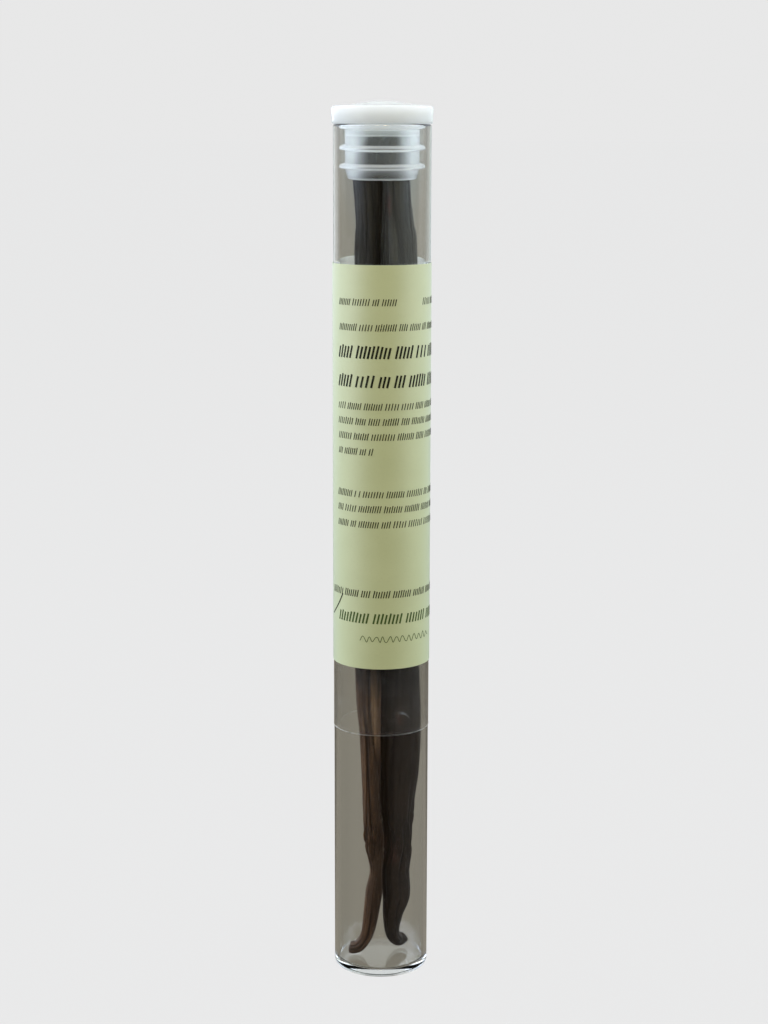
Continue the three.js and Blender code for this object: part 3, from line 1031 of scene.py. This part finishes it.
dark_ink = ink_finish("dark_ink", (0.012, 0.014, 0.006, 1), (0.045, 0.048, 0.025, 1))
green_ink = ink_finish("green_ink", (0.060, 0.095, 0.022, 1), (0.095, 0.145, 0.045, 1))
ink_pieces = (
    printed_rows("dark_print", DARK_ROWS, dark_ink, 5),
    printed_rows("green_print", GREEN_ROWS, green_ink, 9),
    pen_line("green_wave", wavy_points(-4.6, 12.6, 74.8, 4.4, 0.55), 0.13, green_ink),
    pen_line("tick", bowed_points((-9.2, 83.8), (-13.6, 78.8), 0.4), 0.3, dark_ink),
)
for ink_piece in ink_pieces:
    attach(ink_piece, "root")


# The pale floor, the soft lights and the camera. Large soft boxes hang at both sides, above the tube,
# and a weak warm one in front. Only the camera sees the backdrop's pale tone: what the glass mirrors
# or lets through is the room, grey behind the tube, dark in front and bright at the sides.
FLOOR_HALF = 40.0
PHOTO_HEIGHT = 1024
FOCAL_PIXELS = 2042
SENSOR = 36.0
CAMERA_DISTANCE = 0.422
CAMERA_HEIGHT = 0.1785
CAMERA_TILT = math.radians(10.556)
CAMERA_ROLL = math.radians(-0.12)
CAMERA_ASIDE = 0.00035

# The floor throws back little light. It glows in the backdrop's tone, less what it throws back.
PAGE_TONE = 0.805
FLOOR_TONE = 0.02
LIGHT_ON_FLOOR = 0.9

# The room's tones by direction: the angle from straight behind the tube, in degrees, with the left
# side below zero, and a colour. The lists are for level directions, for low ones and for high ones.
ROOM_LEVEL = (
    (-180, (0.04, 0.04, 0.035)), (-158, (0.04, 0.04, 0.035)), (-148, (0.28, 0.28, 0.27)),
    (-65, (0.38, 0.375, 0.355)), (-50, (2.0, 2.1, 2.1)), (-18, (2.0, 2.1, 2.1)),
    (-12, (0.12, 0.155, 0.155)), (-2, (0.16, 0.195, 0.195)), (2, (0.26, 0.36, 0.365)),
    (12, (0.26, 0.375, 0.385)), (18, (1.6, 1.75, 1.7)), (50, (1.6, 1.75, 1.7)),
    (65, (0.88, 0.93, 0.87)), (120, (0.88, 0.93, 0.87)),
    (164, (0.42, 0.43, 0.41)), (171, (0.04, 0.04, 0.035)),
)
ROOM_LOW = (
    (-180, (0.02, 0.015, 0.01)), (-140, (0.02, 0.015, 0.012)), (-126, (0.04, 0.035, 0.03)),
    (-65, (0.07, 0.065, 0.055)), (-54, (0.22, 0.203, 0.165)), (-14, (0.28, 0.255, 0.21)),
    (14, (0.285, 0.26, 0.218)), (54, (0.2, 0.185, 0.155)), (65, (0.07, 0.065, 0.055)),
    (140, (0.06, 0.055, 0.05)), (165, (0.02, 0.015, 0.01)),
)
ROOM_HIGH = (
    (-180, (0.10, 0.09, 0.07)), (-142, (0.10, 0.09, 0.07)), (-120, (1.45, 1.68, 2.1)),
    (-50, (1.45, 1.68, 2.1)), (-25, (0.72, 0.74, 0.74)), (25, (0.72, 0.74, 0.74)),
    (50, (1.15, 1.35, 1.6)), (120, (1.15, 1.35, 1.6)), (142, (0.10, 0.09, 0.07)),
)
CEILING_COLOUR = (0.60, 0.62, 0.63, 1)

# Between which slopes the level tones give way to the low and the high ones, and those to the ceiling:
# a slope is the upward share of a direction of length one.
LOW_FADE = (-0.06, -0.18)
HIGH_FADE = (0.02, 0.1)
CEILING_FADE = (0.5, 0.8)


def only_for_camera(tree, tone):
    """A value for what the camera sees directly, and nothing for any other ray."""
    ray = tree.nodes.new("ShaderNodeLightPath")
    return spread(tree, ray.outputs["Is Camera Ray"], 0, 1, 0, tone)


floor_mesh = bpy.data.meshes.new("pale_floor")
floor_corners = [(-FLOOR_HALF, -FLOOR_HALF, 0), (FLOOR_HALF, -FLOOR_HALF, 0)]
floor_corners += [(FLOOR_HALF, FLOOR_HALF, 0), (-FLOOR_HALF, FLOOR_HALF, 0)]
floor_mesh.from_pydata(floor_corners, [], [(0, 1, 2, 3)])
floor = bpy.data.objects.new("pale_floor", floor_mesh)
bpy.context.scene.collection.objects.link(floor)
floor_paint, floor_tree, floor_shader = new_finish(
    "pale_floor", Base_Color=(FLOOR_TONE, FLOOR_TONE, FLOOR_TONE, 1), Roughness=0.95,
    Specular_IOR_Level=0.0, Emission_Color=(1, 1, 1, 1),
)
floor_glow = only_for_camera(floor_tree, PAGE_TONE - FLOOR_TONE * LIGHT_ON_FLOOR)
floor_tree.links.new(floor_glow, floor_shader.inputs["Emission Strength"])
floor_mesh.materials.append(floor_paint)
floor.visible_glossy = False
floor.visible_transmission = False


def studio_room():
    """The world's light by direction."""
    world = bpy.data.worlds.new("soft_room")
    world.use_nodes = True
    tree = world.node_tree
    direction = tree.nodes.new("ShaderNodeTexCoord")
    split = tree.nodes.new("ShaderNodeSeparateXYZ")
    tree.links.new(direction.outputs["Generated"], split.inputs["Vector"])
    sideways, depth, upward = (split.outputs[axis] for axis in "XYZ")
    turn = maths(tree, "DIVIDE", maths(tree, "ARCTAN2", sideways, depth), 2 * math.pi)
    share = maths(tree, "ADD", turn, 0.5)
    level, low, high = (
        colours_along(tree, share, [(angle / 360 + 0.5, colour) for angle, colour in tones])
        for tones in (ROOM_LEVEL, ROOM_LOW, ROOM_HIGH)
    )
    lowered = blend_colours(tree, spread(tree, upward, *LOW_FADE, 0, 1), level, low)
    raised = blend_colours(tree, spread(tree, upward, *HIGH_FADE, 0, 1), lowered, high)
    room = blend_colours(tree, spread(tree, upward, *CEILING_FADE, 0, 1), raised, CEILING_COLOUR)
    seen = tree.nodes.new("ShaderNodeLightPath")
    page = (PAGE_TONE, PAGE_TONE, PAGE_TONE, 1)
    tone = blend_colours(tree, seen.outputs["Is Camera Ray"], room, page)
    tree.links.new(tone, tree.nodes["Background"].inputs["Color"])
    return world


bpy.context.scene.world = studio_room()


def soft_box(name, place, width, height, power, colour):
    """A soft rectangular lamp that faces the middle of the tube."""
    lamp = bpy.data.lights.new(name, "AREA")
    lamp.shape = "RECTANGLE"
    lamp.size = width
    lamp.size_y = height
    lamp.energy = power
    lamp.color = colour
    box = bpy.data.objects.new(name, lamp)
    box.location = place
    aim = Vector((0, 0, TUBE_HEIGHT / 2)) - Vector(place)
    box.rotation_euler = aim.to_track_quat("-Z", "Y").to_euler()
    bpy.context.scene.collection.objects.link(box)


soft_box("left_box", (-0.66, -0.05, 0.56), 0.9, 0.7, 5.8, (0.92, 1.0, 1.2))
soft_box("right_box", (0.66, -0.05, 0.56), 0.9, 0.7, 4.6, (0.93, 1.0, 1.12))
soft_box("front_box", (0.0, -0.7, 0.75), 0.4, 0.3, 2.7, (1.0, 0.81, 0.44))

camera = bpy.data.cameras.new("camera")
camera.sensor_width = SENSOR
camera.lens = FOCAL_PIXELS * SENSOR / PHOTO_HEIGHT
camera.clip_start = 0.01
camera_object = bpy.data.objects.new("camera", camera)
camera_object.location = (CAMERA_ASIDE, -CAMERA_DISTANCE, CAMERA_HEIGHT)
camera_object.rotation_euler = (math.pi / 2 - CAMERA_TILT, CAMERA_ROLL, 0)
bpy.context.scene.collection.objects.link(camera_object)
bpy.context.scene.camera = camera_object
bpy.context.scene.view_settings.view_transform = "Standard"
